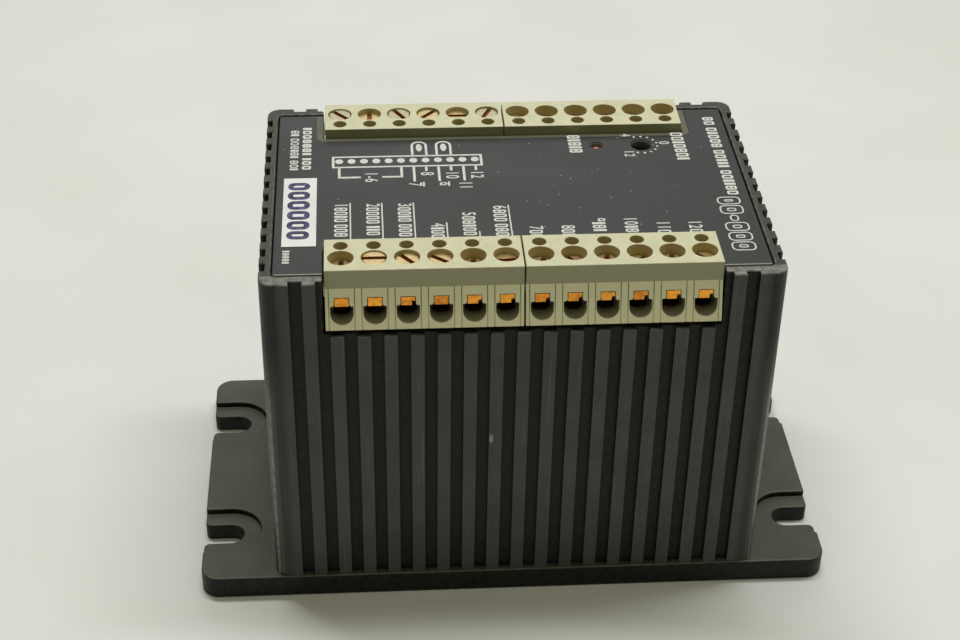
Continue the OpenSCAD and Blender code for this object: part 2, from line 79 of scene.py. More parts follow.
class Look:
    """A material, with short calls that add nodes to it. Textures are in cycles per millimetre."""

    def __init__(self, name, **values):
        self.material = bpy.data.materials.new(name)
        self.material.use_nodes = True
        self.tree = self.material.node_tree
        self.shader = self.tree.nodes["Principled BSDF"]
        self.place = self.add("TexCoord").outputs["Object"]
        self.height = None
        for socket, value in values.items():
            self.set(socket, value)

    def add(self, kind, **settings):
        node = self.tree.nodes.new("ShaderNode" + kind)
        for name, value in settings.items():
            setattr(node, name, value)
        return node

    def plug(self, socket, value):
        if isinstance(value, bpy.types.NodeSocket):
            self.tree.links.new(value, socket)
        elif isinstance(value, tuple) and len(value) == 3 and socket.type == "RGBA":
            socket.default_value = (*value, 1.0)
        else:
            socket.default_value = value

    def set(self, socket, value):
        """Sets or links one of the shader's own sockets; _ stands for a space in its name."""
        self.plug(self.shader.inputs[socket.replace("_", " ")], value)

    def scaled(self, cycles):
        """The object's own coordinates in cycles; cycles is a number, or one for each axis."""
        x, y, z = cycles if isinstance(cycles, tuple) else (cycles,) * 3
        mapping = self.add("Mapping")
        self.plug(mapping.inputs["Vector"], self.place)
        self.plug(mapping.inputs["Scale"], (x / MM, y / MM, z / MM))
        return mapping.outputs["Vector"]

    def noise(self, cycles, detail):
        node = self.add("TexNoise")
        self.plug(node.inputs["Vector"], self.scaled(cycles))
        self.plug(node.inputs["Scale"], 1.0)
        self.plug(node.inputs["Detail"], detail)
        return node.outputs[0]

    def cells(self, cycles):
        """The distance to the nearest of many scattered points."""
        node = self.add("TexVoronoi")
        self.plug(node.inputs["Vector"], self.scaled(cycles))
        self.plug(node.inputs["Scale"], 1.0)
        return node.outputs["Distance"]

    def painted(self, layer):
        """A mask that the mesh code stored on the corners of the faces."""
        return self.add("Attribute", attribute_name=layer).outputs["Fac"]

    def levels(self, value, low, high, to_low=0.0, to_high=1.0):
        """value, with low to high stretched to run from to_low to to_high, and held at its ends."""
        node = self.add("MapRange")
        for socket, number in zip(node.inputs, (value, low, high, to_low, to_high)):
            self.plug(socket, number)
        return node.outputs[0]

    def maths(self, operation, first, second=0.5):
        node = self.add("Math", operation=operation)
        self.plug(node.inputs[0], first)
        self.plug(node.inputs[1], second)
        return node.outputs[0]

    def both(self, first, second):
        return self.maths("MULTIPLY", first, second)

    def either(self, first, second):
        return self.maths("MAXIMUM", first, second)

    def blend(self, amount, first, second):
        node = self.add("Mix", data_type="RGBA")
        for index, value in ((0, amount), (6, first), (7, second)):
            self.plug(node.inputs[index], value)
        return node.outputs[2]

    def blend_values(self, amount, first, second):
        node = self.add("Mix", data_type="FLOAT")
        for index, value in ((0, amount), (2, first), (3, second)):
            self.plug(node.inputs[index], value)
        return node.outputs[0]

    def axis(self, name):
        """One of the object's own coordinates, in millimetres."""
        split = self.add("SeparateXYZ")
        self.plug(split.inputs[0], self.place)
        return self.both(split.outputs[name], 1 / MM)

    def reach(self, name):
        """The distance from the object's middle along one axis, in millimetres."""
        return self.maths("ABSOLUTE", self.axis(name))

    def facing_up(self):
        """How far the surface faces up or down: 1 when level and 0 when upright."""
        split = self.add("SeparateXYZ")
        self.plug(split.inputs[0], self.add("TexCoord").outputs["Normal"])
        return self.maths("ABSOLUTE", split.outputs["Z"])

    def between(self, value, low, high):
        """1 where value lies between low and high."""
        above = self.maths("GREATER_THAN", value, low)
        return self.both(above, self.maths("LESS_THAN", value, high))

    def emboss(self, texture, depth):
        """Raises the surface by up to depth millimetres where texture is 1, on any earlier relief."""
        node = self.add("Bump")
        self.plug(node.inputs["Height"], texture)
        self.plug(node.inputs["Distance"], depth * MM)
        if self.height is not None:
            self.plug(node.inputs["Normal"], self.height)
        self.height = node.outputs["Normal"]
        self.set("Normal", self.height)


def coated_metal(name, dark, light, worn, roughness, painted_shade_mask, highlight_and_chip_mask=None):
    """Black coating on a die casting: mottled, with long fine scratches and worn edges.

    The first mask is 1 where painted shade turns the coating near black and less glossy, and the
    second is above 0 where a pale highlight is painted, and on one real chip.
    """
    look = Look(name)
    mottle = look.noise(0.16, 5.0)
    grain = look.noise(7.0, 2.0)
    streaks = look.noise((3.2, 3.2, 0.05), 3.0)
    patches = look.noise(0.9, 6.0)
    colour = look.blend(look.levels(mottle, 0.38, 0.62), dark, light)
    colour = look.blend(look.levels(grain, 0.3, 0.75, 0.0, 0.35), colour, light)
    scratch = look.levels(streaks, 0.64, 0.72, 0.0, 0.35)
    colour = look.blend(scratch, colour, worn)
    rubbed = look.both(look.painted("edge"), look.levels(patches, 0.42, 0.6, 0.15, 0.9))
    colour = look.blend(rubbed, colour, worn)
    if highlight_and_chip_mask:
        # A pale painted highlight on the front rim and low corners, and a real pale chip.
        highlight_and_chip = look.both(highlight_and_chip_mask(look), look.levels(patches, 0.38, 0.6, 0.45, 1.2))
        colour = look.blend(highlight_and_chip, colour, (0.36, 0.37, 0.33))
    # Painted shade: near black and less glossy in the grooves and high on the case's corners, on the
    # base plate's upright faces, and on the cover outside its rear strip.
    painted_shade = look.both(painted_shade_mask(look), look.levels(patches, 0.3, 0.7, 1.0, 0.8))
    look.set("Base_Color", look.blend(painted_shade, colour, (0.0035, 0.0035, 0.0028)))
    look.set("Specular_IOR_Level", look.levels(painted_shade, 0.0, 1.0, 0.5, 0.2))
    look.set("Roughness", look.levels(patches, 0.3, 0.7, roughness - 0.06, roughness + 0.08))
    look.emboss(grain, 0.012)
    look.emboss(streaks, 0.006)
    return look.material


def worn_height(look):
    """1 low on the case, where its corners get a painted highlight, and 0 high up, where they get
    painted shade.
    """
    return look.levels(look.axis("Z"), CORNER_LIT_UP_TO, CORNER_SHADED_FROM, 1.0, 0.0)


def in_grooves(look):
    """Painted shade: 1 in the grooves between the ribs, and above 0 high on the corners and beside
    them.
    """
    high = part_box("finned_case")[1] / MM
    x, y = look.reach("X"), look.reach("Y")
    depth = look.maths(
        "MINIMUM", look.maths("SUBTRACT", high.x, x), look.maths("SUBTRACT", high.y, y),
    )
    corner = look.both(
        look.maths("GREATER_THAN", x, high.x - CORNER_R),
        look.maths("GREATER_THAN", y, high.y - CORNER_R),
    )
    groove = look.maths("SUBTRACT", look.levels(depth, 0.1, 0.6), corner)
    high_corner = look.both(corner, look.levels(worn_height(look), 0.0, 1.0, 0.8, 0.0))
    flat_end = high.x - CORNER_R
    beside_corner = look.levels(x, flat_end - 1.1, flat_end - 0.2, 0.0, 0.45)
    in_face = look.maths("GREATER_THAN", y, high.y - 0.1)
    dark = look.either(groove, look.both(beside_corner, in_face))
    below_rim = look.maths("LESS_THAN", look.axis("Z"), high.z - 0.25)
    return look.both(look.either(dark, high_corner), below_rim)


def on_front_rim_and_corners(look):
    """Above 0 on the rim's front strip and low on the upright corners of the case, as painted
    highlight, and on one real chip.
    """
    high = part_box("finned_case")[1] / MM
    on_top = look.maths("GREATER_THAN", look.axis("Z"), high.z - 0.35)
    at_front = look.maths("LESS_THAN", look.axis("Y"), RIM_W - high.y)
    rim = look.both(look.both(on_top, at_front), 0.45)
    far_x = look.levels(look.reach("X"), high.x - 1.0, high.x - 0.6)
    far_y = look.levels(look.reach("Y"), high.y - 1.1, high.y - 0.7)
    corner = look.both(look.both(look.both(far_x, far_y), 0.6), worn_height(look))
    return look.either(look.either(rim, corner), chip_on_rib(look))


def chip_on_rib(look):
    """Above 0 on a small chip halfway down a rib at the front."""
    from_x = look.maths("ABSOLUTE", look.maths("SUBTRACT", look.axis("X"), CHIP_X))
    from_z = look.maths("ABSOLUTE", look.maths("SUBTRACT", look.axis("Z"), CHIP_Z))
    across = look.levels(from_x, 0.12, 0.38, 1.0, 0.0)
    up = look.levels(from_z, 0.35, 1.0, 1.0, 0.0)
    return look.both(look.both(across, up), look.maths("LESS_THAN", look.axis("Y"), 0.0))


def on_cover_margin(look):
    """Above 0 on the cover, where painted shade darkens it in the gaps round the film, but for the
    strip of it that shows round the rear housings.
    """
    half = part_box("rear_right_terminal_housing")[1].x / MM + 2.2
    beside = look.maths("LESS_THAN", look.reach("X"), half)
    rear = look.maths("GREATER_THAN", look.axis("Y"), 0.0)
    return look.levels(look.both(beside, rear), 0.0, 1.0, 0.6, 0.0)


def on_upright_faces(look):
    """1 where the surface stands upright; on the base plate these faces get painted shade."""
    return look.levels(look.facing_up(), 0.35, 0.75, 1.0, 0.0)


def printed_film():
    """Charcoal film: fine brushing, a few specks of dust, handling marks in its gloss, and a painted
    highlight at its front edge.
    """
    look = Look("printed_film")
    brushing = look.noise((9.0, 0.35, 9.0), 3.0)
    clouds = look.noise(0.08, 4.0)
    cloudy = look.levels(clouds, 0.35, 0.65)
    colour = look.blend(cloudy, (0.021, 0.021, 0.023), (0.029, 0.029, 0.030))
    colour = look.blend(look.levels(brushing, 0.35, 0.8, 0.0, 0.3), colour, (0.055, 0.055, 0.056))
    dust = look.levels(look.cells(0.42), 0.045, 0.075, 0.75, 0.0)
    colour = look.blend(dust, colour, (0.35, 0.35, 0.33))
    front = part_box("nameplate_film")[0].y / MM
    # A painted highlight along the film's front edge.
    front_edge_highlight = look.levels(look.axis("Y"), front + 0.12, front + 0.25, 0.8, 0.0)
    colour = look.blend(front_edge_highlight, colour, (0.42, 0.42, 0.40))
    look.set("Base_Color", colour)
    look.set("Roughness", look.levels(clouds, 0.3, 0.7, 0.38, 0.5))
    look.emboss(brushing, 0.004)
    return look.material


def white_print():
    """Screen-printed white ink, slightly uneven."""
    look = Look("white_print", Roughness=0.5)
    cover = look.noise(2.5, 5.0)
    opaque = look.levels(cover, 0.3, 0.7)
    look.set("Base_Color", look.blend(opaque, (0.60, 0.60, 0.57), (0.80, 0.80, 0.77)))
    look.emboss(cover, 0.006)
    return look.material


def purple_ink():
    """Stamped purple ink, thin in places."""
    look = Look("purple_ink", Roughness=0.55)
    cover = look.noise(1.4, 6.0)
    thin = look.levels(cover, 0.45, 0.72)
    look.set("Base_Color", look.blend(thin, (0.035, 0.025, 0.085), (0.16, 0.13, 0.32)))
    look.emboss(cover, 0.004)
    return look.material


def white_sticker():
    """White paper with fine fibres and a few faint smudges."""
    look = Look("white_sticker", Roughness=0.55)
    fibre = look.noise(3.0, 6.0)
    smudge = look.noise(0.2, 3.0)
    colour = look.blend(look.levels(smudge, 0.45, 0.75), (0.84, 0.84, 0.83), (0.74, 0.74, 0.76))
    fibrous = look.levels(fibre, 0.5, 0.8, 0.0, 0.25)
    look.set("Base_Color", look.blend(fibrous, colour, (0.66, 0.66, 0.64)))
    look.emboss(fibre, 0.008)
    return look.material


def shaded_by_place(look, colour):
    """The plastic's colour by place: painted shade on the upright band, a painted highlight on the
    slope, and painted shade in the wells (brown), wire entries, inner face and seams.
    """
    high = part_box("front_right_terminal_housing")[1] / MM
    out, z = look.reach("Y"), look.axis("Z")
    shoulder = high.z - BAND_H
    below_top = high.z - 0.12
    slope_out = look.both(look.maths("SUBTRACT", shoulder, z), SLOPE_RUN)
    face = look.maths("ADD", look.either(slope_out, 0.0), BAND_OUT)
    depth = look.maths("SUBTRACT", face, out)
    within_ends = look.maths("LESS_THAN", look.reach("X"), high.x - 0.1)
    inside = look.both(look.maths("LESS_THAN", z, below_top), within_ends)
    recess = look.both(look.levels(depth, 0.04, 0.09), inside)
    seam_only = look.levels(depth, 0.15, 0.25, 1.0, 0.0)
    seam_strength = look.levels(z, shoulder - 4.5, shoulder - 2.0, 0.25, 0.9)
    strength = look.blend_values(seam_only, 0.92, seam_strength)
    outer = look.levels(depth, 0.04, 0.09, 1.0, 0.0)
    band = look.both(look.between(z, shoulder, below_top), outer)
    slope = look.both(look.maths("LESS_THAN", z, shoulder - 0.03), outer)
    # Painted shade on the upright band, and a painted highlight on the slope below it.
    colour = look.blend(look.both(band, 0.8), colour, (0.26, 0.25, 0.12))
    colour = look.blend(look.both(slope, 0.8), colour, (0.85, 0.81, 0.50))
    # Painted shade in the recesses: dark in the wire entries and on the inner face, brown in the
    # wells, and in the seams, stronger higher up.
    entry = look.maths("GREATER_THAN", out, ENTRY_FROM)
    inner_face = look.maths("LESS_THAN", out, INNER_FACE_TO)
    recess_shade = look.blend(entry, (0.54, 0.45, 0.20), (0.22, 0.23, 0.14))
    recess_shade = look.blend(inner_face, recess_shade, (0.27, 0.26, 0.13))
    return look.blend(look.both(recess, strength), colour, recess_shade)


def pebble_plastic():
    """Moulded beige polyamide, slightly yellowed, with a fine grain and grime in patches."""
    look = Look("pebble_plastic", Specular_IOR_Level=0.45)
    grain = look.noise(6.0, 3.0)
    mottle = look.noise(0.3, 5.0)
    grime = look.noise(0.8, 7.0)
    colour = look.blend(look.levels(mottle, 0.35, 0.65), (0.64, 0.62, 0.42), (0.70, 0.68, 0.48))
    colour = look.blend(look.levels(grain, 0.35, 0.8, 0.0, 0.2), colour, (0.50, 0.48, 0.30))
    colour = look.blend(look.levels(grime, 0.60, 0.78, 0.0, 0.35), colour, (0.28, 0.27, 0.15))
    colour = look.blend(look.both(look.painted("edge"), 0.35), colour, (0.78, 0.77, 0.58))
    # The colour by place carries painted light and shade.
    look.set("Base_Color", shaded_by_place(look, colour))
    look.set("Roughness", look.levels(mottle, 0.3, 0.7, 0.42, 0.52))
    look.emboss(grain, 0.010)
    return look.material


def metal(name, colour, tarnish, roughness, amount=0.6):
    """A plated metal with fine scratches and patches of tarnish."""
    look = Look(name, Metallic=1.0)
    patches = look.noise(1.1, 6.0)
    scratches = look.noise((1.5, 14.0, 14.0), 4.0)
    tarnished = look.levels(patches, 0.42, 0.68, 0.0, amount)
    look.set("Base_Color", look.blend(tarnished, colour, tarnish))
    look.set("Roughness", look.levels(scratches, 0.3, 0.7, roughness - 0.08, roughness + 0.12))
    look.emboss(scratches, 0.006)
    return look.material


def copper_leaf():
    """Bright copper with tool marks, more tarnished at some poles than at others."""
    look = Look("copper_leaf", Metallic=1.0)
    poles = look.noise((0.19, 0.01, 0.01), 1.0)
    patches = look.noise(1.7, 6.0)
    by_pole = look.levels(poles, 0.42, 0.6, 0.0, 0.55)
    tarnish = look.maths("ADD", by_pole, look.levels(patches, 0.46, 0.6, 0.0, 0.45))
    look.set("Base_Color", look.blend(tarnish, (1.0, 0.44, 0.055), (0.60, 0.20, 0.035)))
    look.set("Roughness", look.levels(patches, 0.3, 0.7, 0.25, 0.42))
    look.emboss(patches, 0.03)
    return look.material


def screw_slot():
    """The brown residue in the bottom of a driver slot."""
    look = Look("screw_slot", Metallic=0.35, Roughness=0.6)
    rust = look.noise(3.0, 6.0)
    rusty = look.levels(rust, 0.4, 0.65)
    look.set("Base_Color", look.blend(rusty, (0.26, 0.08, 0.02), (0.42, 0.16, 0.04)))
    look.emboss(rust, 0.02)
    return look.material


def moulded(name, dark, light, roughness):
    """A dull moulded or cast surface with a fine grain."""
    look = Look(name)
    grain = look.noise(5.0, 4.0)
    look.set("Base_Color", look.blend(look.levels(grain, 0.35, 0.7), dark, light))
    look.set("Roughness", look.levels(grain, 0.3, 0.7, roughness - 0.05, roughness + 0.07))
    look.emboss(grain, 0.012)
    return look.material


def lamp_lens():
    """Hazy pale red plastic, glossy outside."""
    look = Look("lamp_lens", Roughness=0.25, Coat_Weight=0.4)
    haze = look.noise(2.2, 3.0)
    hazy = look.levels(haze, 0.3, 0.7)
    look.set("Base_Color", look.blend(hazy, (0.62, 0.16, 0.14), (0.80, 0.42, 0.38)))
    look.emboss(haze, 0.01)
    return look.material


def circuit_board():
    """Green solder mask over copper tracks, with tinned pads."""
    look = Look("circuit_board", Roughness=0.35, Coat_Weight=0.3)
    tracks = look.add("TexBrick", offset=0.5, squash=0.6, squash_frequency=3)
    look.plug(tracks.inputs["Vector"], look.scaled(0.45))
    for socket, value in (("Scale", 1.0), ("Mortar Size", 0.09), ("Mortar Smooth", 0.2)):
        look.plug(tracks.inputs[socket], value)
    line = tracks.outputs["Fac"]
    mottle = look.noise(0.5, 4.0)
    mask = look.blend(look.levels(mottle, 0.3, 0.7), (0.010, 0.085, 0.035), (0.014, 0.11, 0.045))
    colour = look.blend(line, mask, (0.030, 0.20, 0.075))
    pads = look.levels(look.cells(0.28), 0.13, 0.15, 1.0, 0.0)
    look.set("Base_Color", look.blend(pads, colour, (0.62, 0.61, 0.58)))
    look.set("Metallic", look.both(pads, 0.9))
    look.emboss(line, 0.03)
    return look.material


def capacitor_sleeve(low, high, front):
    """Shrink sleeve with a pale stripe down one side, and bare aluminium above and below it."""
    look = Look("capacitor_sleeve", Roughness=0.3)
    ripples = look.noise((0.8, 0.8, 0.15), 3.0)
    rippled = look.levels(ripples, 0.3, 0.7)
    sleeve = look.blend(rippled, (0.012, 0.014, 0.045), (0.022, 0.026, 0.075))
    stripe = look.maths("LESS_THAN", look.axis("Y"), front)
    colour = look.blend(stripe, sleeve, (0.45, 0.46, 0.50))
    top = look.maths("GREATER_THAN", look.axis("Z"), high)
    foot = look.maths("LESS_THAN", look.axis("Z"), low)
    bare = look.either(top, foot)
    look.set("Base_Color", look.blend(bare, colour, (0.62, 0.62, 0.63)))
    look.set("Metallic", bare)
    look.emboss(ripples, 0.03)
    return look.material


def partly_metal(name, body, pins, low, high):
    """A dark moulding between the heights low and high, and bare plated pins above and below it."""
    look = Look(name)
    grain = look.noise(5.0, 4.0)
    inside = look.between(look.axis("Z"), low, high)
    shade = look.blend(look.levels(grain, 0.35, 0.7), body, tuple(1.6 * c for c in body))
    look.set("Base_Color", look.blend(inside, pins, shade))
    look.set("Metallic", look.maths("SUBTRACT", 1.0, inside))
    look.set("Roughness", look.levels(grain, 0.3, 0.7, 0.35, 0.55))
    look.emboss(grain, 0.008)
    return look.material


# ---- Shapes


def rounded(node, width, keep, segments=2):
    """A copy of a CAD node with its sharp outer edges rounded by width, where keep(edge) is true.

    The new faces are marked in the layer "edge", and the copy stands for the node.
    """
    form = bmesh.new()
    form.from_mesh(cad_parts[node].data)
    bmesh.ops.remove_doubles(form, verts=form.verts, dist=0.002 * MM)
    flat = math.radians(0.8)
    bmesh.ops.dissolve_limit(form, angle_limit=flat, verts=form.verts, edges=form.edges)
    sharp = [
        e for e in form.edges
        if len(e.link_faces) == 2 and e.calc_face_angle_signed() > math.radians(40) and keep(e)
    ]
    made = bmesh.ops.bevel(
        form, geom=sharp, offset=width * MM, offset_type="OFFSET", segments=segments, profile=0.5,
        affect="EDGES", clamp_overlap=False,
    )
    layer = form.loops.layers.float_color.new("edge")
    new_faces = set(made["faces"])
    for face in form.faces:
        face.smooth = True
        shade = (1.0,) * 4 if face in new_faces else (0.0,) * 4
        for loop in face.loops:
            loop[layer] = shade
    for edge in form.edges:
        limit = math.radians(46 if new_faces.intersection(edge.link_faces) else 12)
        edge.smooth = len(edge.link_faces) == 2 and edge.calc_face_angle() < limit
    name = f"{node}_rounded"
    piece = show(name, mesh_of(form, name))
    level = piece.modifiers.new("even shading", "WEIGHTED_NORMAL")
    level.keep_sharp = True
    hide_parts(node)
    return piece


def mesh_of(form, name):
    """Turns a bmesh into a mesh and frees it."""
    mesh = bpy.data.meshes.new(name)
    form.to_mesh(mesh)
    form.free()
    return mesh


def show(name, mesh, place=None):
    """Puts a mesh into the scene as an object."""
    piece = bpy.data.objects.new(name, mesh)
    bpy.context.scene.collection.objects.link(piece)
    if place is not None:
        piece.matrix_world = place
    return piece


def dress(piece, material, body="root"):
    """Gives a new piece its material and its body."""
    piece.data.materials.clear()
    piece.data.materials.append(material)
    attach(piece, body)
    return piece


def edge_test(test):
    """Turns a test of one point, in millimetres, into a test of both ends of an edge."""
    return lambda edge: all(test(*(v.co / MM)) for v in edge.verts)


# ---- Case, base plate, cover, film and sticker


def add_case(coated_case, coated_base, coated_cover, film, sticker):
    """The case, base plate, cover, nameplate film and sticker, with their outer edges rounded."""
    low, high = (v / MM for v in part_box("finned_case"))
    base_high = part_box("base_plate")[1] / MM
    seam = low.z + 0.1
    inside_x, inside_y = high.x - 3.2, high.y - 3.2

    def outer(x, y, z):
        return z > seam and (abs(x) > inside_x or abs(y) > inside_y)

    def ear(x, y, z):
        return abs(x) > high.x - 6 or abs(y) > base_high.y - 0.5

    def above_base(x, y, z):
        return z > base_high.z

    def anywhere(x, y, z):
        return True

    for node, width, test, segments, material, slot in (
        ("finned_case", 0.3, outer, 2, coated_case, "coated_case"),
        ("base_plate", 0.35, ear, 3, coated_base, "coated_base"),
        ("top_cover", 0.12, above_base, 2, coated_cover, "coated_case"),
        ("nameplate_film", 0.05, anywhere, 1, film, "printed_film"),
        ("serial_sticker", 0.03, anywhere, 1, sticker, "white_sticker"),
    ):
        dress(rounded(node, width, edge_test(test), segments), material)


# ---- Terminals


def pole_centre(row, number):
    """The middle of the top of a terminal screw, in millimetres."""
    low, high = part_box(f"{row}_terminal_screw_{number}")
    middle = (low + high) / 2 / MM
    return Vector((middle.x, middle.y, high.z / MM))


# How far the thin seams beside a wire entry lie from the middle of its pole, how far down from its
# top a housing shows, and how far in from the middle of its top its edges are rounded
SEAM_AT = 1.95
SHOWN_H = 9.7
SHOWN_IN = 2.0


def add_housings(material):
    """The housings, with each outer edge rounded but those of the thin seams by the wire entries."""
    for row in ROWS:
        xs = [pole_centre(row, k + 1).x for k in range(POLES)]
        for side in SIDES:
            node = f"{row}_{side}_terminal_housing"
            low, high = (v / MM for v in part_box(node))

            def plain(edge):
                ends = [v.co / MM for v in edge.verts]
                seam = any(min(abs(abs(p.x - x) - SEAM_AT) for x in xs) < 0.12 for p in ends)
                hidden = any(p.z < high.z - SHOWN_H for p in ends)
                inner = abs(low.y + high.y) / 2 + SHOWN_IN
                deep = all(abs(p.y) < inner and p.z < high.z - 0.1 for p in ends)
                return not (seam or hidden or deep)

            dress(rounded(node, 0.1, plain), material)


def lathe(form, profile, steps):
    """Turns (radius, height) points in millimetres about Z. A radius of 0 closes that end."""
    rings = []
    for radius, height in profile:
        if radius == 0:
            rings.append([form.verts.new((0, 0, height * MM))])
            continue
        ring = []
        for k in range(steps):
            t = 2 * math.pi * k / steps
            place = Vector((radius * math.cos(t), radius * math.sin(t), height)) * MM
            ring.append(form.verts.new(place))
        rings.append(ring)
    for upper, lower in zip(rings, rings[1:]):
        for k in range(steps):
            n = (k + 1) % steps
            corners = ((lower, k), (lower, n), (upper, n), (upper, k))
            verts = [circle[index % len(circle)] for circle, index in corners]
            form.faces.new(list(dict.fromkeys(verts)))


# A terminal screw: head, driver slot, and thread with its crest and root radii, pitch and length
HEAD_R = 1.85
HEAD_H = 1.5
SLOT_W = 0.8
SLOT_DEPTH = 0.7
THREAD_R = 1.25
ROOT_R = 1.02
THREAD_PITCH = 0.45
SHANK = 4.2


def screw_head():
    """A cheese head, barely crowned, with a driver slot along X and its top at the origin."""
    form = bmesh.new()
    crown = [(0, 0), (1.0, -0.002), (1.6, -0.012), (1.76, -0.045), (1.83, -0.12), (HEAD_R, -0.22)]
    bevel = 0.12
    underside = [
        (HEAD_R, -HEAD_H + bevel), (HEAD_R - bevel, -HEAD_H), (ROOT_R, -HEAD_H), (0, -HEAD_H),
    ]
    lathe(form, crown + underside, 48)
    head = show("screw_head", mesh_of(form, "screw_head"))
    cutter_form = bmesh.new()
    bmesh.ops.create_cube(cutter_form, size=1.0)
    past_both_sides = 5.0
    size = Vector((past_both_sides, SLOT_W, 2 * SLOT_DEPTH)) * MM
    bmesh.ops.scale(cutter_form, vec=size, verts=cutter_form.verts)
    cutter = show("slot_cutter", mesh_of(cutter_form, "slot_cutter"))
    cut = head.modifiers.new("slot", "BOOLEAN")
    cut.object = cutter
    cut.operation = "DIFFERENCE"
    bpy.context.view_layer.update()
    evaluated = head.evaluated_get(bpy.context.evaluated_depsgraph_get())
    finished = bpy.data.meshes.new_from_object(evaluated)
    for spare in (head, cutter):
        bpy.data.objects.remove(spare)
    return finished


def thread(form):
    """A screw thread below the head, as one spiral surface, with a flat tip."""
    steps, rows_per_turn = 20, 4
    rows = round(SHANK / THREAD_PITCH * rows_per_turn)
    rings = []
    for row in range(rows + 1):
        depth = row / rows * SHANK
        ring = []
        for k in range(steps):
            turn = k / steps
            phase = (depth / THREAD_PITCH - turn) % 1
            crest = 1 - abs(2 * phase - 1)
            radius = ROOT_R + (THREAD_R - ROOT_R) * crest
            angle = 2 * math.pi * turn
            x, y = radius * math.cos(angle), radius * math.sin(angle)
            ring.append(form.verts.new(Vector((x, y, -HEAD_H - depth)) * MM))
        rings.append(ring)
    for upper, lower in zip(rings, rings[1:]):
        for k in range(steps):
            n = (k + 1) % steps
            form.faces.new((upper[k], lower[k], lower[n], upper[n]))
    form.faces.new(reversed(rings[-1]))


def screw_mesh(plating, residue):
    """The head and the thread as one mesh, which several screws share."""
    form = bmesh.new()
    head = screw_head()
    form.from_mesh(head)
    thread(form)
    for face in form.faces:
        middle = face.calc_center_median() / MM
        near = 0.01
        in_slot = abs(middle.y) < SLOT_W / 2 + near and -SLOT_DEPTH - near < middle.z < -0.05
        wall = abs(face.normal.z) < 0.1 and abs(abs(middle.y) - SLOT_W / 2) < near
        floor = face.normal.z > 0.9 and abs(middle.z + SLOT_DEPTH) < near
        face.material_index = 1 if in_slot and (wall or floor) else 0
        face.smooth = True
    for edge in form.edges:
        edge.smooth = len(edge.link_faces) == 2 and edge.calc_face_angle() < math.radians(35)
    bpy.data.meshes.remove(head)
    mesh = mesh_of(form, "terminal_screw")
    mesh.materials.append(plating)
    mesh.materials.append(residue)
    return mesh


# The direction of each screw's slot, in degrees from +X, as in the CAD model
SLOT_TURNS = {
    "front": (88, 0, -52, -38, 86, 4, 62, -58, 78, 48, 80, -46),
    "rear": (-48, 90, -60, 48, 0, 66, 20, -70, 85, 40, -30, 75),
}

# The rear screws that are paler than the rest
PALE_SCREWS = (1, 3, 6)


def add_screws(golden, pale, residue):
    """The detailed screws, each on the body of its own hinge."""
    golden_mesh, pale_mesh = screw_mesh(golden, residue), screw_mesh(pale, residue)
    for row in ROWS:
        for number in range(1, POLES + 1):
            node = f"{row}_terminal_screw_{number}"
            spin = Matrix.Rotation(math.radians(SLOT_TURNS[row][number - 1]), 4, "Z")
            mesh = pale_mesh if row == "rear" and number in PALE_SCREWS else golden_mesh
            place = Matrix.Translation(pole_centre(row, number) * MM) @ spin
            piece = show(f"{node}_detailed", mesh, place)
            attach(piece, f"{row}_screw_{number}")
            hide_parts(node)


# ---- Print


# The height of a digit in Blender's own font, as a share of its size
DIGIT_SHARE = 0.7


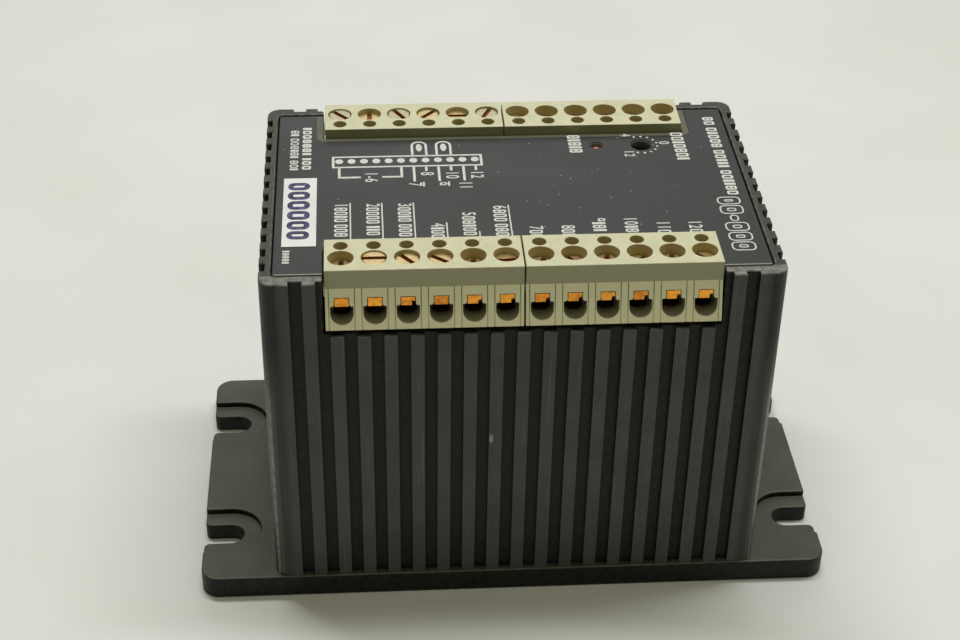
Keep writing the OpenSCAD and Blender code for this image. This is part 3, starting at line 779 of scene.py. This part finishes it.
class Print:
    """Flat print, a little proud of a surface. Shapes are in millimetres, with Y to the rear."""

    PROUD = 0.02
    SUNK = 0.01

    def __init__(self, surface_z):
        self.form = bmesh.new()
        self.low = surface_z - self.SUNK
        self.high = surface_z + self.PROUD

    def points(self, outline, z):
        return [self.form.verts.new((x * MM, y * MM, z * MM)) for x, y in outline]

    def solid(self, outline):
        """A filled shape from its outline, anticlockwise."""
        top, foot = self.points(outline, self.high), self.points(outline, self.low)
        self.form.faces.new(top)
        self.walls(top, foot)

    def hollow(self, outline, hole):
        """A shape with a hole. Both outlines run anticlockwise and have equally many points."""
        tops = [self.points(o, self.high) for o in (outline, hole)]
        feet = [self.points(o, self.low) for o in (outline, hole)]
        count = len(outline)
        for k in range(count):
            n = (k + 1) % count
            self.form.faces.new((tops[0][k], tops[0][n], tops[1][n], tops[1][k]))
        self.walls(tops[0], feet[0])
        self.walls(tops[1][::-1], feet[1][::-1])

    def walls(self, top, foot):
        for k in range(len(top)):
            n = (k + 1) % len(top)
            self.form.faces.new((top[k], foot[k], foot[n], top[n]))

    def bar(self, x0, y0, x1, y1, r=0.1):
        self.solid(round_box(x0, y0, x1, y1, r))

    def ring(self, x0, y0, x1, y1, r, line):
        """The outline of a box with round corners, line wide."""
        hole = round_box(x0 + line, y0 + line, x1 - line, y1 - line, max(r - line, 0.02))
        self.hollow(round_box(x0, y0, x1, y1, r), hole)

    def dot(self, x, y, rx, ry):
        turns = (math.radians(15 * k) for k in range(24))
        self.solid([(x + rx * math.cos(t), y + ry * math.sin(t)) for t in turns])

    def number(self, text, x, y, height, squeeze=0.72, turned=True):
        """A number centred on x, y. A turned one reads from the rear to the front."""
        curve = bpy.data.curves.new("number", "FONT")
        curve.body = text
        curve.align_x = curve.align_y = "CENTER"
        curve.size = height / DIGIT_SHARE * MM
        curve.extrude = (self.high - self.low) / 2 * MM
        curve.offset = 0.015 * height * MM
        curve.space_character = 1.12
        writing = bpy.data.objects.new("number", curve)
        mesh = bpy.data.meshes.new_from_object(writing)
        place = Matrix.Translation(Vector((x, y, (self.high + self.low) / 2)) * MM)
        if turned:
            place = place @ Matrix.Rotation(-math.pi / 2, 4, "Z")
        mesh.transform(place @ Matrix.Diagonal((squeeze, 1, 1, 1)))
        self.form.from_mesh(mesh)
        bpy.data.objects.remove(writing)
        bpy.data.curves.remove(curve)
        bpy.data.meshes.remove(mesh)

    def finish(self, name, material):
        return dress(show(name, mesh_of(self.form, name)), material)


def round_box(x0, y0, x1, y1, r, steps=4):
    """The outline of a box with round corners, anticlockwise."""
    r = min(r, (x1 - x0) / 2 - 0.001, (y1 - y0) / 2 - 0.001)
    left, right, front, rear = x0 + r, x1 - r, y0 + r, y1 - r
    outline = []
    for cx, cy, start in ((right, front, -90), (right, rear, 0), (left, rear, 90), (left, front, 180)):
        for k in range(steps + 1):
            t = math.radians(start + 90 * k / steps)
            outline.append((cx + r * math.cos(t), cy + r * math.sin(t)))
    return outline


def mock_words(sheet, rng, x0, x1, y, words, advance, gap=0.5, stroke=0.33):
    """Neutral marks with the weight of letters, from y towards the front.

    words says how many marks each word has. They lie between x0 and x1 and follow each other by
    about advance, with a gap between words.
    """
    middle = (x0 + x1) / 2
    inset = stroke * 0.9
    for count in words:
        for _ in range(count):
            kind = rng.choice(("ring", "ring", "barred", "narrow"))
            width = advance * (0.45 if kind == "narrow" else 0.8)
            front = y - width
            if kind == "narrow":
                sheet.bar(x0, front, x1, y)
            else:
                sheet.ring(x0, front, x1, y, 0.38, stroke)
            if kind == "barred":
                sheet.bar(middle - stroke / 2, front + inset, middle + stroke / 2, y - inset, 0.02)
            y -= width + advance * 0.2
        y -= gap


# For each front pole: where its legend starts, how many marks its words have, and where the line
# beside it starts, if it has one
LEGENDS = (
    (-4.4, (4, 3), -4.25), (-4.6, (4, 3), -4.45), (-4.7, (4, 3), -4.55), (-10.9, (4,), -10.75),
    (-7.8, (5,), -13.5), (-6.0, (3, 3), -5.85), (-12.3, (2,), None), (-12.3, (2,), None),
    (-10.4, (3,), None), (-10.4, (3,), None), (-11.8, (2,), None), (-11.8, (2,), None),
)
LEGEND_H = 2.1
DIGIT_RUN = 1.25


def legends(sheet, rng, film_front):
    """A number and neutral marks behind each front terminal, read from the rear to the front."""
    for number, (start, words, line_start) in enumerate(LEGENDS, 1):
        x = pole_centre("front", number).x
        text = str(number)
        middle = start - 0.55 * len(text)
        sheet.number(text, x + 0.05, middle, LEGEND_H)
        after = start - DIGIT_RUN * len(text)
        mock_words(sheet, rng, x - 1.0, x + 1.1, after, words, 1.25)
        if line_start:
            sheet.bar(x + 1.42, film_front, x + 1.64, line_start, 0.05)


def connector_diagram(sheet):
    """Twelve dots in a box, two loops behind it, a bracket and six leads in front, and pin numbers."""
    line, r = 0.42, 0.03
    half = line / 2
    dots = [-27.8 + 2.03 * k for k in range(POLES)]
    front, rear, dots_y, loops_y = 6.75, 10.5, 8.85, 15.1
    sheet.ring(dots[0] - 1.2, front, dots[-1] + 1.25, rear, 0.15, line)
    for x in dots:
        sheet.dot(x, dots_y, 0.66, 0.76)
    for k in (6, 8):
        loop(sheet, dots[k] - 0.3, dots[k + 1] + 0.4, rear - 0.1, loops_y, 0.4)
        sheet.dot((dots[k] + dots[k + 1]) / 2 + 0.05, 13.0, 0.5, 1.25)
    left, right, foot = dots[0], dots[5], 3.4
    for x in (left, right):
        sheet.bar(x - half, foot, x + half, front + 0.1, r)
    sheet.bar(left + half - 0.05, foot, left + 3.5, foot + 0.5, r)
    sheet.bar(right - 3.2, foot, right - half + 0.05, foot + 0.5, r)
    sheet.number("1-6", left + 5.1, foot + 0.25, LEGEND_H)
    for k in range(6, POLES):
        x = dots[k]
        end = 2.0 if k % 2 == 0 else 5.3
        sheet.bar(x - half, end, x + half, front + 0.1, r)
        text = str(k + 1)
        sheet.number(text, x, end - 0.35 - 0.55 * len(text), LEGEND_H)
        if k in (6, 8):
            sheet.bar(x + 1.3, end - 0.4 - 1.2 * len(text), x + 1.6, end - 0.2, r)


def loop(sheet, x0, x1, y0, y1, line):
    """An upside-down U with round shoulders, open at the front."""
    r = (x1 - x0) / 2
    middle = x0 + r
    turns = [math.radians(15 * k) for k in range(13)]
    outer = [(middle + r * math.cos(t), y1 - r + r * math.sin(t)) for t in turns]
    inner = [(middle + (r - line) * math.cos(t), y1 - r + (r - line) * math.sin(t)) for t in turns]
    sheet.solid([(x1, y0), *outer, (x0, y0), (x0 + line, y0), *inner[::-1], (x1 - line, y0)])


def dial_marks(sheet, x, y):
    """Ticks round the dial hole and three of its numbers."""
    radius = 2.75
    right = [(degrees, 0.2) for degrees in range(-60, 61, 24)]
    ends = [(degrees, 0.26) for degrees in (84, 108, -84, -108)]
    for degrees, length in right + ends:
        t = math.radians(degrees)
        sheet.dot(x + radius * math.cos(t), y + radius * math.sin(t), 0.2, length)
    for text, dx, dy in (("0", 3.9, 0.5), ("4", -2.3, 3.3), ("12", -2.4, -2.9)):
        sheet.number(text, x + dx, y + dy, 1.7, 0.8)


def outlined_marks(sheet, x0, x1, y):
    """Large marks drawn as two outlines, one inside the other, and a small one between them."""
    line, inset = 0.24, 1.15
    for height in (2.3, 2.6, 1.9, 2.6, 2.5, 2.5):
        large = height > 2
        low, high = (x0, x1) if large else (x0 + 1.2, x0 + 2.6)
        sheet.ring(low, y - height, high, y, 0.9, line)
        if large:
            inset_y = inset * 0.7
            sheet.ring(low + inset, y - height + inset_y, high - inset, y - inset_y, 0.4, line)
        y -= height + 0.3


# Lines of neutral marks: left, right and rear end, marks in each word, advance, gap and stroke
MARK_LINES = (
    (10.5, 12.7, 16.2, (5,), 1.42, 0.5, 0.4),
    (28.1, 30.2, 16.5, (7,), 1.5, 0.5, 0.4),
    (-33.9, -32.4, 20.5, (7, 3), 1.52, 0.7, 0.4),
    (-35.9, -34.5, 19.6, (2, 6, 3), 1.28, 0.6, 0.26),
    (34.5, 36.35, 21.7, (2, 5, 5, 6), 1.51, 0.7, 0.4),
    (-36.5, -35.4, -17.9, (5,), 0.95, 0.5, 0.24),
)


def add_print(white, purple):
    """The white print on the nameplate film and the purple stamp on the sticker."""
    rng = random.Random(7)
    sheet = Print(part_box("nameplate_film")[1].z / MM)
    legends(sheet, rng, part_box("front_left_terminal_housing")[1].y / MM + 0.35)
    connector_diagram(sheet)
    dial_low, dial_high = (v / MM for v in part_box("dial_switch_rotor"))
    dial_marks(sheet, (dial_low.x + dial_high.x) / 2, (dial_low.y + dial_high.y) / 2)
    for line in MARK_LINES:
        mock_words(sheet, rng, *line)
    outlined_marks(sheet, 32.4, 36.2, -4.8)
    sheet.finish("nameplate_print", white)
    stamp = Print(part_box("serial_sticker")[1].z / MM)
    y = 2.1
    for height in (2.3, 2.5, 2.6, 2.6, 2.5, 2.4):
        stamp.ring(-36.0, y - height, -32.45, y, 1.1, 0.88)
        y -= height + 0.42
    stamp.finish("sticker_print", purple)


# ---- Everything else keeps its CAD shape


def paint(material, *names):
    """Gives CAD nodes a material."""
    for name in names:
        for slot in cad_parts[name].material_slots:
            slot.material = material


def paint_inside(tin, copper, black, board):
    """The parts that stay as in the CAD model: clamps, guards, dial, lamp and boards."""
    for row in ROWS:
        for side in SIDES:
            paint(tin, f"{row}_{side}_wire_clamps")
            paint(copper, f"{row}_{side}_wire_guards")
    paint(black, "dial_switch_housing", "dial_switch_rotor", "lamp_spacer")
    paint(lamp_lens(), "alarm_lamp")
    paint(board, "terminal_board", "power_board")
    power_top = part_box("power_board")[1].z / MM
    base_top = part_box("base_plate")[1].z / MM
    for name, body, pins, low, high in (
        ("board_link_header", (0.012, 0.012, 0.013), (0.75, 0.58, 0.28), power_top, power_top + 2.6),
        ("driver_modules", (0.014, 0.014, 0.015), (0.66, 0.65, 0.62), base_top - 0.1, base_top + 4.02),
    ):
        paint(partly_metal(name, body, pins, low, high), name)
    low, high = (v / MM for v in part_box("smoothing_capacitors"))
    paint(capacitor_sleeve(power_top, high.z - 0.02, low.y + 0.5), "smoothing_capacitors")
    epoxy = moulded("chip_epoxy", (0.012, 0.012, 0.013), (0.020, 0.020, 0.021), 0.55)
    paint(epoxy, "controller_chip", "opto_couplers", "supply_regulator")
    paint(moulded("ceramic", (0.66, 0.65, 0.60), (0.76, 0.75, 0.71), 0.6), "sense_resistors")
    zinc = metal("zinc_steel", (0.60, 0.61, 0.63), (0.42, 0.40, 0.34), 0.35)
    paint(zinc, "board_standoffs", "board_pillars")
    paint(zinc, "module_screws", "board_screws", "case_screws", "cover_screws")


# ---- Floor, light and camera


def add_floor():
    """A pale level table top, very slightly uneven in tone."""
    form = bmesh.new()
    bmesh.ops.create_grid(form, x_segments=8, y_segments=8, size=1.5)
    floor = show("floor", mesh_of(form, "floor"))
    look = Look("floor", Roughness=0.7)
    cloudy = look.levels(look.noise(0.02, 2.0), 0.35, 0.65)
    look.set("Base_Color", look.blend(cloudy, (0.81, 0.81, 0.79), (0.85, 0.85, 0.84)))
    floor.data.materials.append(look.material)


def add_light(name, place, size, power, colour):
    """A soft rectangular lamp that points at the object."""
    lamp = bpy.data.lights.new(name, "AREA")
    lamp.shape = "RECTANGLE"
    lamp.size, lamp.size_y = size
    lamp.energy = power
    lamp.color = colour
    light = bpy.data.objects.new(name, lamp)
    bpy.context.scene.collection.objects.link(light)
    light.location = place
    towards_object = Vector((0, 0, 0.03)) - light.location
    light.rotation_euler = towards_object.to_track_quat("-Z", "Y").to_euler()


def add_lights():
    """A long tube lamp above and a little behind, a small window behind and a weak warm fill."""
    warm = (1.0, 0.99, 0.74)
    add_light("tube", (0.05, 0.19, 1.0), (1.0, 0.1), 7.3, (1.0, 1.0, 0.97))
    add_light("window", (0.06, 1.3, 0.85), (0.7, 0.6), 1.7, (0.95, 0.98, 1.0))
    add_light("fill", (0.0, -0.3, 1.0), (1.2, 0.5), 1.2, warm)
    world = bpy.data.worlds.new("studio")
    world.use_nodes = True
    background = world.node_tree.nodes["Background"]
    background.inputs["Color"].default_value = (*warm, 1.0)
    background.inputs["Strength"].default_value = 0.15
    bpy.context.scene.world = world


def add_camera():
    """The camera that a fit to the photograph's terminal holes and case edges gave."""
    pitch, yaw, roll = 0.60887, 0.07477, -0.01780
    ahead = math.cos(pitch)
    forward = Vector((math.sin(yaw) * ahead, math.cos(yaw) * ahead, -math.sin(pitch)))
    level = Vector((math.cos(yaw), -math.sin(yaw), 0))
    down = -level.cross(forward)
    right = math.cos(roll) * level + math.sin(roll) * down
    up = math.sin(roll) * level - math.cos(roll) * down
    camera = bpy.data.objects.new("camera", bpy.data.cameras.new("camera"))
    camera.data.sensor_width = 36
    camera.data.lens = 68.616
    camera.data.clip_start = 0.01
    turn = Matrix((right, up, -forward)).transposed().to_4x4()
    camera.matrix_world = Matrix.Translation(Vector((-23.79, -253.69, 213.32)) * MM) @ turn
    bpy.context.scene.collection.objects.link(camera)
    bpy.context.scene.camera = camera


add_camera()
add_lights()
add_floor()
coated = coated_metal(
    "coated_case", (0.030, 0.031, 0.024), (0.044, 0.046, 0.036), (0.15, 0.155, 0.13), 0.42,
    in_grooves, on_front_rim_and_corners,
)
base = coated_metal(
    "coated_base", (0.060, 0.063, 0.043), (0.080, 0.083, 0.058), (0.10, 0.105, 0.075), 0.45,
    on_upright_faces,
)
cover = coated_metal(
    "coated_cover", (0.10, 0.10, 0.065), (0.12, 0.12, 0.08), (0.16, 0.16, 0.14), 0.45,
    on_cover_margin,
)
add_case(coated, base, cover, printed_film(), white_sticker())
add_housings(pebble_plastic())
add_screws(
    metal("screw_golden", (0.77, 0.61, 0.32), (0.50, 0.30, 0.13), 0.38, 0.5),
    metal("screw_pale", (0.62, 0.58, 0.40), (0.46, 0.38, 0.22), 0.42, 0.5),
    screw_slot(),
)
add_print(white_print(), purple_ink())
paint_inside(
    # The tin is darkened as painted shade deep in the wire entries.
    metal("tinned_steel", (0.30, 0.29, 0.25), (0.14, 0.12, 0.09), 0.45),
    copper_leaf(),
    moulded("black_plastic", (0.006, 0.006, 0.006), (0.012, 0.012, 0.012), 0.5),
    circuit_board(),
)
bpy.context.scene.view_settings.view_transform = "Standard"
